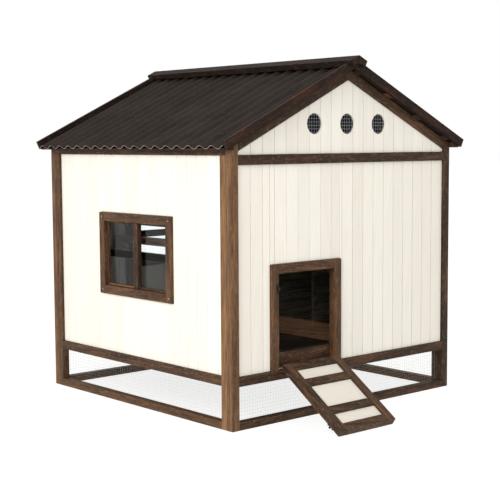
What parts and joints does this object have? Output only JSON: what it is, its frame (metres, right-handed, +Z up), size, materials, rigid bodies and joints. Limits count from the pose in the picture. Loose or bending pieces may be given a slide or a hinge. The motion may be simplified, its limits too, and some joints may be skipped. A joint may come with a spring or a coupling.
{
  "type": "chicken coop",
  "caption": "Boarded hen house on a dark batten frame with a corrugated gable roof, round vents, side window, rear access door and a drop-down pop door that serves as the ramp",
  "frame": {"origin": "On the ground, in the middle of the whole outline seen from above, with the ramp down.", "axes": "+Z is up. -Y is the front, with the pop door and ramp. +X is to the right when facing the front."},
  "size_m": [1.5238, 1.8164, 1.5909],
  "materials": {
    "stained_timber": "walnut-brown stained softwood battens, satin",
    "dark_timber": "dark brown stained softwood, satin",
    "floor_timber": "dark stained boards, worn",
    "cream_boards": "cream opaque paint on tongue-and-groove softwood",
    "roof_sheet": "dark brown fibre-bitumen corrugated sheet, matt",
    "roof_fixings": "dark capped sheet screws",
    "galvanised_wire": "galvanised welded wire mesh",
    "clear_pane": "clear sheet",
    "black_hardware": "black lacquered steel"
  },
  "bodies": {
    "coop": {"front_stiles": "stained_timber", "front_mid_rail": "stained_timber", "front_rafters": "stained_timber", "front_boards": "cream_boards", "front_gable_boards": "cream_boards", "back_stiles": "stained_timber", "back_mid_rail": "stained_timber", "back_rafters": "stained_timber", "back_boards": "cream_boards", "back_gable_boards": "cream_boards", "end_ground_rails": "stained_timber", "tie_beams": "stained_timber", "left_stiles": "stained_timber", "left_mid_rail": "stained_timber", "left_boards": "cream_boards", "right_stiles": "stained_timber", "right_mid_rail": "stained_timber", "right_boards": "cream_boards", "side_ground_rails": "stained_timber", "side_top_rails": "stained_timber", "end_mesh": "galvanised_wire", "side_mesh": "galvanised_wire", "vent_mesh": "galvanised_wire", "purlins": "stained_timber", "eave_battens": "dark_timber", "front_bargeboards": "dark_timber", "back_bargeboards": "dark_timber", "left_roof_sheet": "roof_sheet", "right_roof_sheet": "roof_sheet", "ridge_caps": "dark_timber", "roof_screws": "roof_fixings", "floor_joists": "stained_timber", "floor_boards": "floor_timber", "threshold_board": "stained_timber", "nest_front_board": "stained_timber", "nest_dividers": "stained_timber", "nest_roof": "stained_timber", "perch": "stained_timber", "perch_blocks": "stained_timber", "window_frame": "stained_timber", "window_bars": "stained_timber", "window_beads": "stained_timber", "window_pane": "clear_pane", "popdoor_frame": "stained_timber", "rear_door_frame": "stained_timber", "hinge_fixed_leaves": "black_hardware", "hinge_pins": "black_hardware", "bolt_keepers": "black_hardware"},
    "ramp": {"ramp_frame": "stained_timber", "ramp_panels": "cream_boards", "ramp_hinge_leaves": "black_hardware", "ramp_bolt_case": "black_hardware"},
    "ramp_bolt": {"ramp_bolt_rod": "black_hardware"},
    "rear_door": {"rear_leaf_frame": "stained_timber", "rear_leaf_boards": "cream_boards", "rear_leaf_bars": "stained_timber", "rear_leaf_pane": "clear_pane", "rear_hinge_leaves": "black_hardware", "rear_bolt_case": "black_hardware"},
    "rear_bolt": {"rear_bolt_rod": "black_hardware"}
  },
  "joints": [
    {"name": "ramp_hinge", "type": "hinge", "parent": "coop", "child": "ramp", "pos_m": [-0.262, -0.54278, 0.229], "axis": [-1, 0, 0], "range_deg": [0, 124.04]},
    {"name": "ramp_bolt_slide", "type": "slide", "parent": "ramp", "child": "ramp_bolt", "axis": [-1, 0, 0], "range_m": [0, 0.02]},
    {"name": "rear_door_hinge", "type": "hinge", "parent": "coop", "child": "rear_door", "pos_m": [0.3035, 0.84522, 0.5765], "axis": [0, 0, -1], "range_deg": [0, 110]},
    {"name": "rear_bolt_slide", "type": "slide", "parent": "rear_door", "child": "rear_bolt", "axis": [-1, 0, 0], "range_m": [0, 0.02]}
  ]
}
